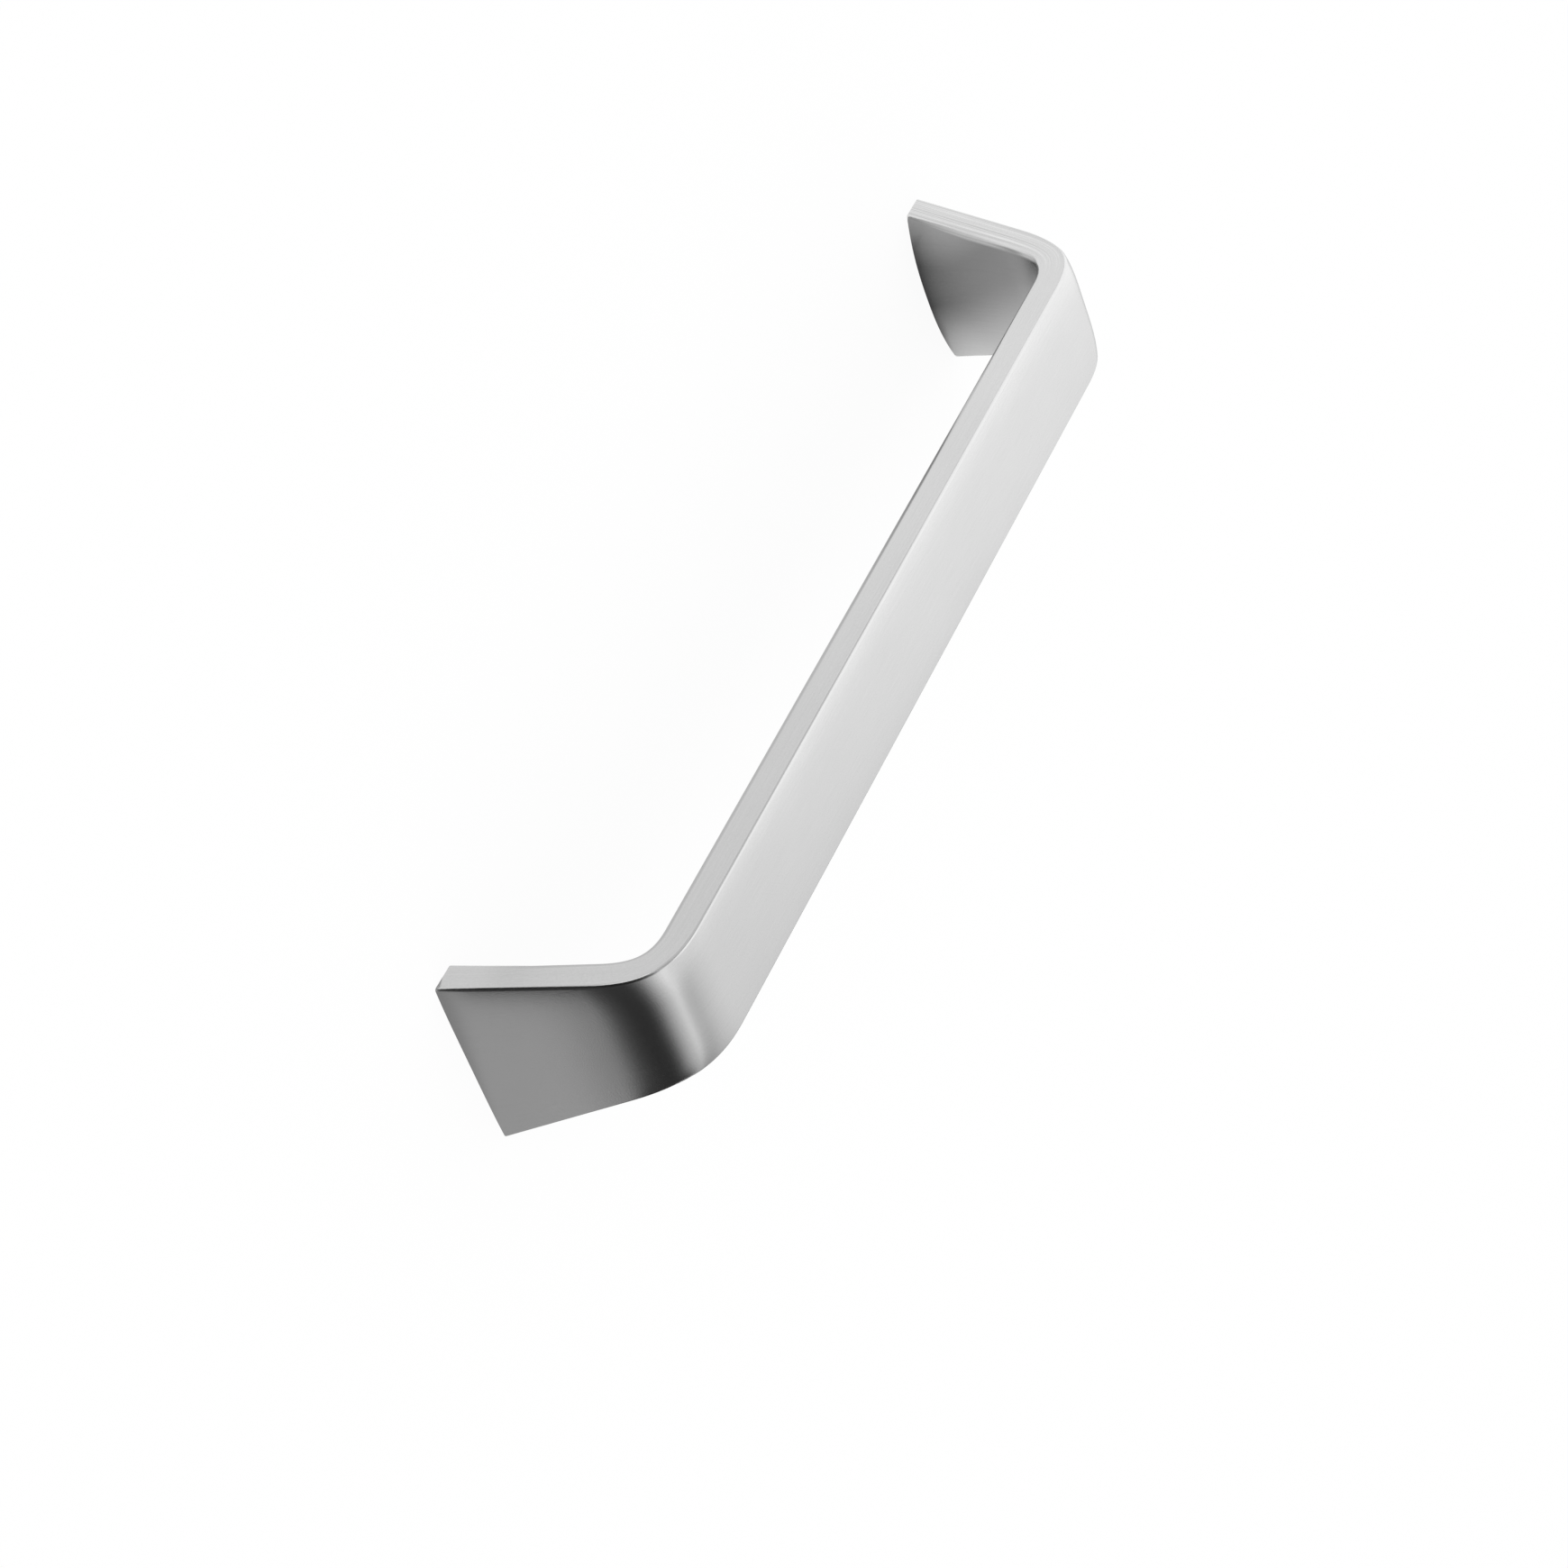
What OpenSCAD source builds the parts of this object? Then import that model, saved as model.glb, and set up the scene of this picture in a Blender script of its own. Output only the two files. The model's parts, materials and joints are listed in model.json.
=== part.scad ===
// Bow-shaped pull handle for a drawer or a cupboard door, cast in one piece.
// A flat grip runs between two legs that lean outwards and widen towards their feet.
// Leg and grip run into each other in a bend that gets tighter up to its middle.
// Each foot is thicker at its middle, on the finger side, and holds a tapped blind hole.
//
// Frame: both feet stand on the plane z = 0, which is the face of the furniture.
// x runs along the handle, y across it, and z away from the furniture.
// The origin lies midway between the two feet. All sizes are in millimetres.

/* [Bow] */
// Distance between the centres of the two screw holes
hole_spacing = 192; // [96:32:320]
// From the centre of a screw hole to the outer edge of its foot
hole_to_edge = 5.4; // [5:0.1:6]
// Height of the front face of the grip above the furniture
bow_h = 33.9; // [28:0.1:45]
// Angle by which the front face of each leg leans outwards from upright
splay = 14.8; // [10:0.1:16]
// The same angle on the finger side, where the leg gets thicker as it rises
rear_splay = 15.7; // [14:0.1:20]
// Radius of the bend between leg and grip at its tightest, on the front side
outer_bend_r = 9.1; // [7:0.1:12]
// Radius of the same bend at its tightest, on the finger side
inner_bend_r = 5.4; // [4:0.1:7]

/* [Strap] */
// Thickness of the grip
grip_t = 5.8; // [4.8:0.1:7]
// Thickness of each foot along the handle, before the extra at its middle
foot_t = 5.6; // [5:0.1:6.5]
// Width of the grip
grip_w = 20.6; // [16:0.2:26]
// Width of each foot where it stands on the furniture
foot_w = 30.8; // [26:0.1:40]
// Height at which the flare of the legs reaches the width of the grip
flare_h = 29.7; // [24:0.1:40]
// Half the height over which the flare runs out softly into the grip
flare_blend = 3.5; // [1:0.5:8]
// How far the front face falls off towards its two edges
front_fall = 0.25; // [0:0.05:1]
// How much further it falls off at the middle of a bend, where it is domed
bend_fall = 0.45; // [0:0.05:1]

/* [Foot] */
// Extra thickness at the middle of each foot, on the finger side
foot_crown = 2.8; // [2.4:0.1:4]
// Height at which that extra thickness has faded away
crown_h = 19; // [14:0.5:24]

/* [Edges] */
// Rounding of the edges of the front face
front_edge_r = 0.5; // [0.2:0.1:1]
// Rounding of the edges on the finger side, round the bends and along the grip
finger_edge_r = 1.3; // [0.6:0.1:2]
// Rounding of the same edges at the feet
foot_edge_r = 0.3; // [0.2:0.1:0.6]
// Height at which the small rounding has grown to the full one
full_edge_h = 12; // [6:0.5:20]

/* [Screw holes] */
// Radius of the hole that is drilled for the thread of the screw
drill_r = 1.65; // [1.25:0.05:1.8]
// Depth of the hole up to the start of its drill point
hole_depth = 8; // [6:0.5:9]
// Radius of the countersink at the mouth of the hole
mouth_r = 2.05; // [1.9:0.05:2.4]
// Angle of the point that the drill leaves at the end of the hole
drill_point = 118; // [90:1:140]

/* [Hidden] */

// Steps of the mesh: along a leg, round a bend, round an edge and across half a face
leg_steps = 10;
bend_steps = 20;
edge_steps = 4;
front_steps = 6;
rear_steps = 8;
// The front face falls off with this power of the distance from its middle line
fall_power = 4;
// The extra thickness of a foot fades with this power of the same distance
crown_power = 2.4;
// Facets round a screw hole
hole_facets = 48;

// The legs are drawn this far through the furniture's face and then cut off flat
foot_overrun = 1;
// A cut starts this far outside the body that it cuts
cut_margin = 1;

overall_l = hole_spacing + 2 * hole_to_edge;
flare_slope = (foot_w - grip_w) / 2 / flare_h;

function clamped(t) = min(1, max(0, t));

// Half the width at height z: a straight flare that runs out into the grip's width
function half_width(z) = grip_w / 2 + flare_slope * flare_run(flare_h - z);
function flare_run(below) =
    below > flare_blend ? below
    : below < -flare_blend ? 0
    : pow(below + flare_blend, 2) / (4 * flare_blend);

// Share of its whole turn that a bend has made at a share of its length. The bend gets
// tighter evenly up to its middle and eases off again, so that it starts and ends straight.
function turned(share) = share < 0.5 ? 2 * pow(share, 2) : 1 - 2 * pow(1 - share, 2);

// Direction of a face that leans inwards by an angle, as [x, z]
function heading(lean) = [-sin(lean), cos(lean)];

// The bend from a leaning leg to the level grip, as [x, z] points from its own start
function bend_line(lean, r) =
    let (turn = 90 - lean, step = 2 * r * turn * PI / 180 / bend_steps)
    [for (
        i = 0, p = [0, 0];
        i <= bend_steps;
        p = p + step * heading(lean + turn * turned((i + 0.5) / bend_steps)), i = i + 1
    ) p];

// One face of the half bow at +x, seen from the side as a list of [x, z] points.
// It starts under the foot at foot_x, leans inwards, bends and ends level at top_z.
function face_line(foot_x, lean, top_z, r) =
    let (
        bend = bend_line(lean, r),
        straight_z = top_z - bend[bend_steps].y,
        bend_start = [foot_x - straight_z * tan(lean), straight_z]
    )
    concat(
        [for (i = [0 : leg_steps - 1])
            let (z = -foot_overrun + (straight_z + foot_overrun) * i / leg_steps)
            [foot_x - z * tan(lean), z]],
        [for (p = bend) bend_start + p]
    );

front_line = face_line(overall_l / 2, splay, bow_h, outer_bend_r);
rear_line = face_line(overall_l / 2 - foot_t, rear_splay, bow_h - grip_t, inner_bend_r);
last_half = len(front_line) - 1;

// How far the front face is domed at each of these points: 0 on the leg and on the grip
domes = concat(
    [for (i = [1 : leg_steps]) 0],
    [for (i = [0 : bend_steps]) pow(sin(180 * i / bend_steps), 2)]
);

// A station is one place along the strap: [point of the front, point of the rear, dome].
// The second half of the bow mirrors the first.
stations = concat(
    [for (i = [0 : last_half]) [front_line[i], rear_line[i], domes[i]]],
    [for (i = [last_half : -1 : 0])
        [[-front_line[i].x, front_line[i].y], [-rear_line[i].x, rear_line[i].y], domes[i]]]
);

// How far the front face lies below the front line, at a share of the half width
function fall(share, dome) = (front_fall + bend_fall * dome) * pow(share, fall_power);
// Extra thickness on the finger side, at a share of the half width and at height z
function rise(share, z) =
    foot_crown * pow(1 - clamped(z / crown_h), 2) * (1 - pow(share, crown_power));
// Rounding of the finger side's edges at height z
function rear_edge_r(z) =
    foot_edge_r + (finger_edge_r - foot_edge_r) * clamped(z / full_edge_h);

// Half of the section at a station, from the middle of its front to the middle of its
// rear. Each entry is [depth below the front line, share of the half width].
function half_section(s) =
    let (
        t = norm(s[1] - s[0]),
        z = s[1].y,
        r = rear_edge_r(z),
        front_flat = 1 - front_edge_r / half_width(s[0].y),
        rear_flat = 1 - r / half_width(z)
    )
    concat(
        [for (i = [0 : front_steps - 1]) let (share = front_flat * i / front_steps)
            [fall(share, s[2]), share]],
        [for (i = [0 : edge_steps])
            let (a = 90 * i / edge_steps, share = front_flat + (1 - front_flat) * sin(a))
            [fall(share, s[2]) + front_edge_r * (1 - cos(a)), share]],
        [for (i = [0 : edge_steps])
            let (a = 90 * i / edge_steps, share = rear_flat + (1 - rear_flat) * cos(a))
            [t - r * (1 - sin(a)) + rise(share, z), share]],
        [for (i = [1 : rear_steps]) let (share = rear_flat * (1 - i / rear_steps))
            [t + rise(share, z), share]]
    );

// Place one entry of a section in space, on the side of the handle that is asked for
function placed(s, entry, side) =
    let (p = s[0] + (s[1] - s[0]) / norm(s[1] - s[0]) * entry[0])
    [p.x, side * half_width(p.y) * entry[1], p.y];

// The closed ring of points round the strap at a station
function ring(s) =
    let (half = half_section(s), last = len(half) - 1)
    concat(
        [for (i = [0 : last]) placed(s, half[i], 1)],
        [for (i = [last - 1 : -1 : 1]) placed(s, half[i], -1)]
    );

// A solid skinned over rings that all have the same number of points
module skin(rings) {
    n = len(rings[0]);
    last = len(rings) - 1;
    points = [for (r = rings) each r];
    first_cap = [[for (i = [0 : n - 1]) i]];
    last_cap = [[for (i = [n - 1 : -1 : 0]) last * n + i]];
    sides = [for (k = [0 : last - 1], i = [0 : n - 1])
        let (j = (i + 1) % n)
        each [
            [k * n + i, (k + 1) * n + i, (k + 1) * n + j],
            [k * n + i, (k + 1) * n + j, k * n + j]
        ]];
    polyhedron(points = points, faces = concat(first_cap, sides, last_cap), convexity = 6);
}

// Everything on the furniture's side of the feet, which is cut away
module below_feet() {
    translate([-overall_l / 2 - cut_margin, -foot_w / 2 - cut_margin, -3 * foot_overrun])
        cube([overall_l + 2 * cut_margin, foot_w + 2 * cut_margin, 3 * foot_overrun]);
}

// One blind hole with its countersunk mouth and the point that the drill leaves
module screw_hole() {
    point_h = drill_r / tan(drill_point / 2);
    translate([0, 0, -cut_margin])
        cylinder(r = drill_r, h = hole_depth + cut_margin, $fn = hole_facets);
    translate([0, 0, hole_depth])
        cylinder(r1 = drill_r, r2 = 0, h = point_h, $fn = hole_facets);
    translate([0, 0, -cut_margin])
        cylinder(r1 = mouth_r + cut_margin, r2 = drill_r,
            h = mouth_r - drill_r + cut_margin, $fn = hole_facets);
}

module handle() {
    color([0.80, 0.80, 0.80])
        difference() {
            skin([for (s = stations) ring(s)]);
            below_feet();
            for (side = [-1, 1]) {
                translate([side * hole_spacing / 2, 0, 0]) screw_hole();
            }
        }
}

handle();
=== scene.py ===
"""Looks of a bow-shaped pull handle for furniture: one casting with a satin plating.

The casting is modelled again as one closed, finely sampled skin, with the rounded edges of
its feet and the threads of its two blind holes. It stands on a pale studio floor. Sizes are
in millimetres until a mesh is made, and in metres from there on.
"""

import json
import logging
import math
from collections.abc import Sequence
from dataclasses import dataclass, field, replace
from enum import Enum

import bmesh
import bpy
import numpy as np
from mathutils import Matrix, Vector


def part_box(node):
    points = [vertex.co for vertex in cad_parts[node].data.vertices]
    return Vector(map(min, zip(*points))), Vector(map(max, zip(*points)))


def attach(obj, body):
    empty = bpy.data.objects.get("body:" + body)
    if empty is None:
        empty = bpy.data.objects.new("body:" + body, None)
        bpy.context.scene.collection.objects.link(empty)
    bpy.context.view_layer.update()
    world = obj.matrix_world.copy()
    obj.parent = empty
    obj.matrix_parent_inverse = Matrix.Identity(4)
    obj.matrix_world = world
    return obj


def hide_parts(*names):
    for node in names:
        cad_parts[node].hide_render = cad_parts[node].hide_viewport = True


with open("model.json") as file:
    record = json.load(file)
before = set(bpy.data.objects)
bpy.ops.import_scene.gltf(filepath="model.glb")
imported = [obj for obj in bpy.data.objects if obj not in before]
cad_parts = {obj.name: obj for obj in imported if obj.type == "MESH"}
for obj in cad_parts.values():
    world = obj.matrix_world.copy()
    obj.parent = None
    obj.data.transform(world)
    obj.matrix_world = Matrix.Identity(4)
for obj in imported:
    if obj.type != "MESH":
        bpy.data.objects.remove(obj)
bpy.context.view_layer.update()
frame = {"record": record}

MM = 0.001
NODE = "handle"
TINY = 1e-6
LOG = logging.getLogger("pull_handle")

# Two coordinates: x and z in a side view, x and y on the floor
Point = tuple[float, float]


class Foot(Enum):
    """The two feet, by the sign of their place along the handle."""

    RIGHT = 1
    LEFT = -1


class Surface(Enum):
    """The two kinds of surface on the casting, by their place in its list of materials."""

    PLATED = 0
    MACHINED = 1


def clamped(t: float) -> float:
    """Limits a number to the range from 0 to 1."""
    return min(1.0, max(0.0, t))


def cos_deg(angle: float) -> float:
    """Cosine of an angle in degrees."""
    return math.cos(math.radians(angle))


def sin_deg(angle: float) -> float:
    """Sine of an angle in degrees."""
    return math.sin(math.radians(angle))


def tan_deg(angle: float) -> float:
    """Tangent of an angle in degrees."""
    return math.tan(math.radians(angle))


def set_values(mesh: bpy.types.Mesh, name: str, values: Sequence[float]) -> None:
    """Gives a mesh an attribute with one number for each of its points."""
    mesh.attributes.new(name, "FLOAT", "POINT").data.foreach_set("value", values)


def add_object(name: str, data: bpy.types.ID) -> bpy.types.Object:
    """Adds an object to the scene.

    Args:
        name: Its name.
        data: Its mesh, lamp or camera.

    Returns:
        The object.
    """
    added = bpy.data.objects.new(name, data)
    bpy.context.scene.collection.objects.link(added)
    return added


class MeshDraft:
    """Collects the points and faces of one piece, in millimetres, before its mesh is made."""

    def __init__(self) -> None:
        """Starts an empty draft."""
        self.points: list[tuple[float, float, float]] = []
        self.strap: list[tuple[float, float, float]] = []
        self.polish: list[float] = []
        self.flank: list[float] = []
        self.faces: list[tuple[int, ...]] = []
        self.surfaces: list[Surface] = []

    def point(
        self,
        place: Sequence[float],
        strap: Sequence[float] = (0.0, 0.0, 0.0),
        polish: float = 0.0,
        flank: float = 0.0,
    ) -> int:
        """Adds a point.

        Args:
            place: Its coordinates.
            strap: Its place in the strap: along it, across it and below its front face.
            polish: How much of an edge it is, from 0 on a face to 1 on the edge itself.
            flank: 1 on the sides of the strap, 0 on its front and on its finger side.

        Returns:
            The number of the point.
        """
        self.points.append(tuple(float(c) for c in place))
        self.strap.append(tuple(float(c) for c in strap))
        self.polish.append(float(polish))
        self.flank.append(float(flank))
        return len(self.points) - 1

    def face(self, corners: Sequence[int], surface: Surface) -> None:
        """Adds a face, and leaves out corners that fall together.

        Args:
            corners: The numbers of its points, in order.
            surface: The kind of surface that it belongs to.
        """
        kept = [c for i, c in enumerate(corners) if c != corners[i - 1]]
        if len(set(kept)) == len(kept) >= 3:
            self.faces.append(tuple(kept))
            self.surfaces.append(surface)

    def bridge(self, ring: Sequence[int], other: Sequence[int], surface: Surface) -> None:
        """Joins two closed rings of equally many points with a band of faces.

        Args:
            ring: The numbers of the points of one ring.
            other: The same for the other ring.
            surface: The kind of surface that the band belongs to.
        """
        for i in range(len(ring)):
            j = (i + 1) % len(ring)
            self.face((ring[i], other[i], other[j], ring[j]), surface)

    def mesh(self, name: str) -> bpy.types.Mesh:
        """Makes the mesh, in metres.

        Args:
            name: The name of the mesh.

        Returns:
            The mesh, with its attributes strap, in millimetres, polish and flank.
        """
        mesh = bpy.data.meshes.new(name)
        mesh.from_pydata([tuple(c * MM for c in p) for p in self.points], [], self.faces)
        strap = mesh.attributes.new("strap", "FLOAT_VECTOR", "POINT")
        strap.data.foreach_set("vector", np.array(self.strap, np.float32).ravel())
        set_values(mesh, "polish", self.polish)
        set_values(mesh, "flank", self.flank)
        mesh.polygons.foreach_set("material_index", [s.value for s in self.surfaces])
        return mesh


@dataclass
class TappedHole:
    """A blind hole with a countersunk mouth, a thread and the point that the drill leaves."""

    x: float
    drill_r: float
    mouth_r: float = 2.05
    depth: float = 8.0
    major_r: float = 2.0
    pitch: float = 0.7
    full_thread_h: float = 5.6
    thread_end_h: float = 7.0
    drill_point: float = 118.0
    facets: int = 64
    # The section of one turn, as its share of the pitch and of the thread's depth
    profile: tuple[tuple[float, float], ...] = (
        (0.0, 0.0), (0.14, 0.0), (0.28, 0.0), (0.425, 0.5),
        (0.57, 1.0), (0.64, 1.0), (0.71, 1.0), (0.855, 0.5),
    )

    def radius(self, height: float, share: float) -> float:
        """Radius of the hole's wall.

        Args:
            height: Height above the foot's face.
            share: Share of the thread's depth that the profile has there.

        Returns:
            The radius, where the countersink and the thread cut away what they reach.
        """
        run_out = self.thread_end_h - self.full_thread_h
        fade = clamped((self.thread_end_h - height) / run_out)
        thread_r = self.drill_r + (self.major_r - self.drill_r) * share * fade
        return max(thread_r, self.mouth_r - height)

    def wall_point(self, draft: MeshDraft, facet: float, height: float, radius: float) -> int:
        """Adds a point of the hole's wall.

        Args:
            draft: The draft that takes it.
            facet: Its place round the hole, in facets.
            height: Its height above the foot's face.
            radius: Its distance from the hole's axis.

        Returns:
            The number of the point.
        """
        angle = 360 * facet / self.facets
        place = (self.x + radius * cos_deg(angle), radius * sin_deg(angle), height)
        return draft.point(place, place)

    def ring(self, draft: MeshDraft, height: float, radius: float) -> list[int]:
        """Adds a level ring of the hole's wall.

        Args:
            draft: The draft that takes it.
            height: Its height above the foot's face.
            radius: Its radius.

        Returns:
            The numbers of its points.
        """
        return [self.wall_point(draft, j, height, radius) for j in range(self.facets)]

    def thread(self, draft: MeshDraft, low: list[int], high: list[int]) -> None:
        """Adds the thread: rows of faces that climb with the helix between two level rings.

        Args:
            draft: The draft that takes it.
            low: The level ring where the thread starts, in the countersink.
            high: The level ring where it has run out.
        """
        steps = len(self.profile)
        start_h = self.mouth_r - self.major_r
        turns = math.ceil((self.thread_end_h - start_h) / self.pitch) + 1
        made: dict[tuple[int, int], int] = {}

        def corner(row: int, facet: int) -> int:
            """Adds the point where a row crosses a facet line, if it isn't made yet.

            Args:
                row: The number of the row.
                facet: The number of the facet line.

            Returns:
                The number of the point. Past a level ring it is a point of that ring.
            """
            if facet == self.facets:
                row, facet = row + steps, 0
            phase, share = self.profile[row % steps]
            turn = row // steps - 1 + phase + facet / self.facets
            height = start_h + self.pitch * turn
            if height <= start_h + TINY:
                return low[facet]
            if height >= self.thread_end_h - TINY:
                return high[facet]
            if (row, facet) not in made:
                radius = self.radius(height, share)
                made[row, facet] = self.wall_point(draft, facet, height, radius)
            return made[row, facet]

        for row in range(steps * (turns + 1)):
            for facet in range(self.facets):
                corners = (
                    corner(row, facet),
                    corner(row + 1, facet),
                    corner(row + 1, facet + 1),
                    corner(row, facet + 1),
                )
                draft.face(corners, Surface.MACHINED)

    def cut(self, draft: MeshDraft) -> None:
        """Adds the whole wall of the hole, from its mouth to the drill point.

        Args:
            draft: The draft that takes it.
        """
        mouth = self.ring(draft, 0.0, self.mouth_r)
        low = self.ring(draft, self.mouth_r - self.major_r, self.major_r)
        high = self.ring(draft, self.thread_end_h, self.drill_r)
        floor = self.ring(draft, self.depth, self.drill_r)
        draft.bridge(mouth, low, Surface.MACHINED)
        self.thread(draft, low, high)
        draft.bridge(high, floor, Surface.MACHINED)
        tip_h = self.depth + self.drill_r / tan_deg(self.drill_point / 2)
        tip = self.wall_point(draft, 0, tip_h, 0.0)
        for j in range(self.facets):
            draft.face((floor[j], tip, floor[(j + 1) % self.facets]), Surface.MACHINED)


@dataclass(frozen=True)
class Station:
    """A place along the strap: points of its front and finger side, and how far it is domed."""

    front: Point
    rear: Point
    dome: float = 0.0
    inset: float = 0.0

    def mirrored(self) -> "Station":
        """The same place on the other half of the bow."""
        front, rear = ((-x, z) for x, z in (self.front, self.rear))
        return replace(self, front=front, rear=rear)


@dataclass(frozen=True)
class SectionPoint:
    """A point of the strap's section: its depth below the front and its share of the width.

    Of its depth, extra is what the thickened foot adds. Polish and flank are as in a draft.
    """

    depth: float
    share: float
    extra: float = 0.0
    polish: float = 0.0
    flank: float = 0.0


@dataclass(frozen=True)
class Sampling:
    """The number of steps of the skin, along the strap and round its section."""

    leg: int = 40
    bend: int = 44
    half_grip: int = 30
    front: int = 16
    edge: int = 8
    side: int = 6
    rear: int = 16
    foot_edge: int = 5


@dataclass
class BowCasting:
    """The casting: its sizes in millimetres, and the methods that model and dress it."""

    overall_l: float
    bow_h: float
    foot_w: float
    holes: tuple[TappedHole, ...]
    splay: float = 14.8
    rear_splay: float = 15.7
    outer_bend_r: float = 9.1
    inner_bend_r: float = 5.4
    grip_t: float = 5.8
    foot_t: float = 5.6
    grip_w: float = 20.6
    flare_h: float = 29.7
    flare_blend: float = 3.5
    front_fall: float = 0.25
    bend_fall: float = 0.45
    fall_power: float = 4.0
    foot_crown: float = 2.8
    crown_h: float = 19.0
    crown_power: float = 2.4
    front_edge_r: float = 0.5
    finger_edge_r: float = 1.3
    foot_edge_r: float = 0.3
    full_edge_h: float = 12.0
    base_edge_r: float = 0.2
    support_w: float = 0.12
    crease_deg: float = 25.0
    # How much of an edge the rim of a foot is, and how soon the finger side's rounding
    # counts as the strap's side
    rim_polish: float = 0.7
    flank_gain: float = 2.5
    steps: Sampling = field(default_factory=Sampling)

    @classmethod
    def from_frame(cls) -> "BowCasting":
        """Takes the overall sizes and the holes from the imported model.

        Returns:
            The casting, at the size of the CAD node that it stands for.
        """
        low, high = (Vector(corner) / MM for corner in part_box(NODE))
        holes = tuple(
            TappedHole(x=mount["pos_m"][0] / MM, drill_r=mount["dims"]["r_mm"])
            for mount in frame["record"]["mounts"]
            if mount["kind"] == "threaded_hole"
        )
        size = high - low
        return cls(overall_l=size.x, bow_h=high.z, foot_w=size.y, holes=holes)

    def half_width(self, z: float) -> float:
        """Half the width of the strap.

        Args:
            z: The height above the furniture.

        Returns:
            The half width, which flares below the height of the flare.
        """
        slope = (self.foot_w - self.grip_w) / 2 / self.flare_h
        below = self.flare_h - z
        if below > self.flare_blend:
            run = below
        else:
            run = max(0.0, below + self.flare_blend) ** 2 / (4 * self.flare_blend)
        return self.grip_w / 2 + slope * run

    @staticmethod
    def turned(share: float) -> float:
        """Share of its turn that a bend, tightest at its middle, has made at a share of it."""
        return 2 * share**2 if share < 0.5 else 1 - 2 * (1 - share) ** 2

    def bend_line(self, lean: float, r: float) -> list[Point]:
        """Side view of the bend from a leaning leg to the level grip, from its own start.

        Args:
            lean: The angle by which the leg leans inwards, in degrees.
            r: The radius of the bend at its tightest.

        Returns:
            A list of points (x, z).
        """
        turn = 90 - lean
        step = 2 * r * math.radians(turn) / self.steps.bend
        x, z = 0.0, 0.0
        points = [(x, z)]
        for i in range(self.steps.bend):
            heading = lean + turn * self.turned((i + 0.5) / self.steps.bend)
            x, z = x - step * sin_deg(heading), z + step * cos_deg(heading)
            points.append((x, z))
        return points

    def face_line(self, foot_x: float, lean: float, top_z: float, r: float) -> list[Point]:
        """Side view of one face of the half bow at +x, from above the foot to its middle.

        Args:
            foot_x: Where the face stands on the furniture.
            lean: The angle by which it leans inwards, in degrees.
            top_z: Its height along the grip.
            r: The radius of its bend at its tightest.

        Returns:
            A list of points (x, z).
        """
        bend = self.bend_line(lean, r)
        straight_z = top_z - bend[-1][1]
        straight_x = foot_x - straight_z * tan_deg(lean)
        points = []
        for i in range(1, self.steps.leg):
            z = self.base_edge_r + (straight_z - self.base_edge_r) * i / self.steps.leg
            points.append((foot_x - z * tan_deg(lean), z))
        points += [(straight_x + x, straight_z + z) for x, z in bend]
        grip_x = points[-1][0]
        for i in range(1, self.steps.half_grip + 1):
            points.append((grip_x * (1 - i / self.steps.half_grip), top_z))
        return points

    def domes(self) -> list[float]:
        """Works out how far the front is domed along a face line.

        Returns:
            One number for each point of the line, 0 off the bend.
        """
        bend = self.steps.bend
        domes = [sin_deg(180 * i / bend) ** 2 for i in range(bend + 1)]
        return [0.0] * (self.steps.leg - 1) + domes + [0.0] * self.steps.half_grip

    def base_stations(self, front_x: float, rear_x: float) -> list[Station]:
        """Stations of the rounded edge where a foot meets the furniture.

        Args:
            front_x: Where the front face stands on the furniture.
            rear_x: Where the finger side stands on it.

        Returns:
            The stations, from the foot's flat face upwards.
        """
        r = self.base_edge_r
        bends = [(r + self.support_w, 0.0)]
        for i in range(self.steps.foot_edge + 1):
            a = 90 * i / self.steps.foot_edge
            bends.append((r * (1 - sin_deg(a)), r * (1 - cos_deg(a))))
        return [
            Station(
                (front_x - z * tan_deg(self.splay), z),
                (rear_x - z * tan_deg(self.rear_splay), z),
                inset=inset,
            )
            for inset, z in bends
        ]

    def stations(self) -> list[Station]:
        """Places all stations.

        Returns:
            The stations from the foot at +x over the grip to the foot at -x.
        """
        front_x = self.overall_l / 2
        rear_x = front_x - self.foot_t
        front = self.face_line(front_x, self.splay, self.bow_h, self.outer_bend_r)
        rear_top = self.bow_h - self.grip_t
        rear = self.face_line(rear_x, self.rear_splay, rear_top, self.inner_bend_r)
        half = self.base_stations(front_x, rear_x)
        half += [Station(*values) for values in zip(front, rear, self.domes())]
        return half + [s.mirrored() for s in reversed(half[:-1])]

    def fall(self, share: float, dome: float) -> float:
        """How far the front lies below its middle, at a share of the half width."""
        return (self.front_fall + self.bend_fall * dome) * share**self.fall_power

    def rise(self, share: float, z: float) -> float:
        """Extra thickness of a foot, at a share of the half width and at a height."""
        fade = (1 - clamped(z / self.crown_h)) ** 2
        return self.foot_crown * fade * (1 - share**self.crown_power)

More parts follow.
